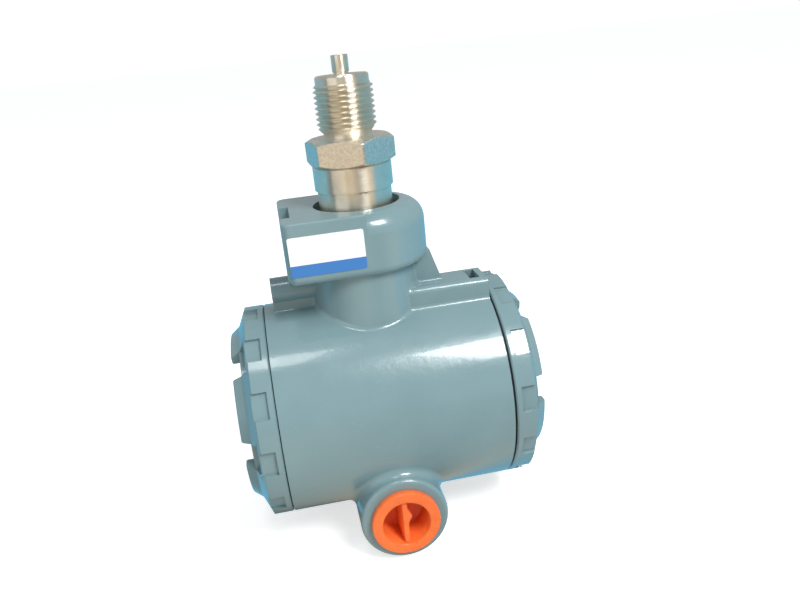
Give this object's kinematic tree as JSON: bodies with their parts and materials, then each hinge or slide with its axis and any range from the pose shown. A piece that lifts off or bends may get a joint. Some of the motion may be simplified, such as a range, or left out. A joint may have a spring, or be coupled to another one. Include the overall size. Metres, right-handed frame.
{
  "type": "pressure transmitter",
  "caption": "Field pressure transmitter with a twin-compartment cast housing, screwed covers, conduit entries and a threaded process connection",
  "frame": {"origin": "on the process axis, half-way along the process thread", "axes": "+Z along the process axis, from the housing out of the pressure port; X along the housing's drum, +X towards the electronics compartment; -Y towards the plugged front conduit entry"},
  "size_m": [0.1103, 0.0894, 0.175],
  "materials": {
    "stainless": "turned, satin",
    "black_rubber": "moulded, matte",
    "grey_paint": "glossy enamel on a casting",
    "orange_plastic": "moulded, semi-gloss",
    "plug_steel": "nickel plated",
    "screw_steel": "as rolled, zinc plated",
    "green_board": "solder resist",
    "black_plastic": "moulded",
    "lead_film": "polyimide film",
    "nickel_brass": "nickel plated",
    "ground_steel": "stainless",
    "sticker_film": "printed film, blank"
  },
  "bodies": {
    "module": {"process_connection": "stainless", "sensor_body": "stainless", "neck_seal": "black_rubber", "neck_circlip": "stainless", "isolating_diaphragm": "stainless", "sensor_cell": "stainless", "sensor_board": "green_board"},
    "housing": {"housing": "grey_paint", "main_board": "green_board", "electronics_shroud": "black_plastic", "board_screws": "screw_steel", "sensor_lead": "lead_film", "terminal_block": "black_plastic", "terminal_plates": "nickel_brass", "block_screws": "screw_steel", "front_sticker": "sticker_film"},
    "left_cover_seal": {"left_cover_seal": "black_rubber"},
    "left_cover": {"left_cover": "grey_paint"},
    "right_cover_seal": {"right_cover_seal": "black_rubber"},
    "right_cover": {"right_cover": "grey_paint"},
    "front_plug": {"front_plug": "orange_plastic"},
    "rear_plug_seal": {"rear_plug_seal": "black_rubber"},
    "rear_plug": {"rear_plug": "plug_steel"},
    "rotation_screw": {"rotation_screw": "screw_steel"},
    "cover_lock_screw": {"cover_lock_screw": "screw_steel"},
    "negative_terminal_clamp": {"negative_terminal_clamp": "nickel_brass"},
    "negative_terminal_screw": {"negative_terminal_screw": "nickel_brass"},
    "test_terminal_clamp": {"test_terminal_clamp": "nickel_brass"},
    "test_terminal_screw": {"test_terminal_screw": "nickel_brass"},
    "positive_terminal_clamp": {"positive_terminal_clamp": "nickel_brass"},
    "positive_terminal_screw": {"positive_terminal_screw": "nickel_brass"},
    "inner_ground_clamp": {"inner_ground_clamp": "ground_steel"},
    "inner_ground_screw": {"inner_ground_screw": "ground_steel"},
    "outer_ground_clamp": {"outer_ground_clamp": "ground_steel"},
    "outer_ground_screw": {"outer_ground_screw": "ground_steel"}
  },
  "joints": [
    {"name": "housing_turn", "type": "hinge", "parent": "module", "child": "housing", "pos_m": [0, 0, -0.04375], "axis": [0, 0, 1], "range_deg": [-180, 180]},
    {"name": "left_cover_travel", "type": "slide", "parent": "housing", "child": "left_cover_seal", "axis": [-1, 0, 0], "range_m": [0, 0.0095]},
    {"name": "left_cover_turn", "type": "hinge", "parent": "left_cover_seal", "child": "left_cover", "pos_m": [-0.0387, 0, -0.10935], "axis": [-1, 0, 0], "range_deg": [0, 2290]},
    {"name": "right_cover_travel", "type": "slide", "parent": "housing", "child": "right_cover_seal", "axis": [1, 0, 0], "range_m": [0, 0.0095]},
    {"name": "right_cover_turn", "type": "hinge", "parent": "right_cover_seal", "child": "right_cover", "pos_m": [0.0432, 0, -0.10935], "axis": [1, 0, 0], "range_deg": [0, 2290]},
    {"name": "front_plug_pull", "type": "slide", "parent": "housing", "child": "front_plug", "axis": [0, -1, 0], "range_m": [0, 0.014]},
    {"name": "rear_plug_travel", "type": "slide", "parent": "housing", "child": "rear_plug_seal", "axis": [0, 1, 0], "range_m": [0, 0.012]},
    {"name": "rear_plug_turn", "type": "hinge", "parent": "rear_plug_seal", "child": "rear_plug", "pos_m": [0, 0.0411, -0.14205], "axis": [0, 1, 0], "range_deg": [0, 2890]},
    {"name": "rotation_screw_back_off", "type": "slide", "parent": "housing", "child": "rotation_screw", "axis": [-1, 0, 0], "range_m": [0, 0.006]},
    {"name": "cover_lock_back_off", "type": "slide", "parent": "housing", "child": "cover_lock_screw", "axis": [0, 0, 1], "range_m": [0, 0.003]},
    {"name": "negative_terminal_clamp_travel", "type": "slide", "parent": "housing", "child": "negative_terminal_clamp", "axis": [-1, 0, 0], "range_m": [0, 0.0025]},
    {"name": "negative_terminal_screw_turn", "type": "hinge", "parent": "negative_terminal_clamp", "child": "negative_terminal_screw", "pos_m": [-0.0158, -0.013, -0.10535], "axis": [-1, 0, 0], "range_deg": [0, 1300]},
    {"name": "test_terminal_clamp_travel", "type": "slide", "parent": "housing", "child": "test_terminal_clamp", "axis": [-1, 0, 0], "range_m": [0, 0.0025]},
    {"name": "test_terminal_screw_turn", "type": "hinge", "parent": "test_terminal_clamp", "child": "test_terminal_screw", "pos_m": [-0.0158, 0, -0.10535], "axis": [-1, 0, 0], "range_deg": [0, 1300]},
    {"name": "positive_terminal_clamp_travel", "type": "slide", "parent": "housing", "child": "positive_terminal_clamp", "axis": [-1, 0, 0], "range_m": [0, 0.0025]},
    {"name": "positive_terminal_screw_turn", "type": "hinge", "parent": "positive_terminal_clamp", "child": "positive_terminal_screw", "pos_m": [-0.0158, 0.013, -0.10535], "axis": [-1, 0, 0], "range_deg": [0, 1300]},
    {"name": "inner_ground_clamp_travel", "type": "slide", "parent": "housing", "child": "inner_ground_clamp", "axis": [-1, 0, 0], "range_m": [0, 0.0025]},
    {"name": "inner_ground_screw_turn", "type": "hinge", "parent": "inner_ground_clamp", "child": "inner_ground_screw", "pos_m": [-0.0045, 0.022, -0.12535], "axis": [-1, 0, 0], "range_deg": [0, 1300]},
    {"name": "outer_ground_clamp_travel", "type": "slide", "parent": "housing", "child": "outer_ground_clamp", "axis": [0, 1, 0], "range_m": [0, 0.0025]},
    {"name": "outer_ground_screw_turn", "type": "hinge", "parent": "outer_ground_clamp", "child": "outer_ground_screw", "pos_m": [0.027, 0.0411, -0.12135], "axis": [0, 1, 0], "range_deg": [0, 1300]}
  ],
  "couplings": [
    {"joint": "left_cover_turn", "follows": "left_cover_travel", "rad_per_m": 4188.8},
    {"joint": "right_cover_turn", "follows": "right_cover_travel", "rad_per_m": 4188.8},
    {"joint": "rear_plug_turn", "follows": "rear_plug_travel", "rad_per_m": 4188.8},
    {"joint": "negative_terminal_screw_turn", "follows": "negative_terminal_clamp_travel", "rad_per_m": 8976},
    {"joint": "test_terminal_screw_turn", "follows": "test_terminal_clamp_travel", "rad_per_m": 8976},
    {"joint": "positive_terminal_screw_turn", "follows": "positive_terminal_clamp_travel", "rad_per_m": 8976},
    {"joint": "inner_ground_screw_turn", "follows": "inner_ground_clamp_travel", "rad_per_m": 8976},
    {"joint": "outer_ground_screw_turn", "follows": "outer_ground_clamp_travel", "rad_per_m": 8976}
  ]
}
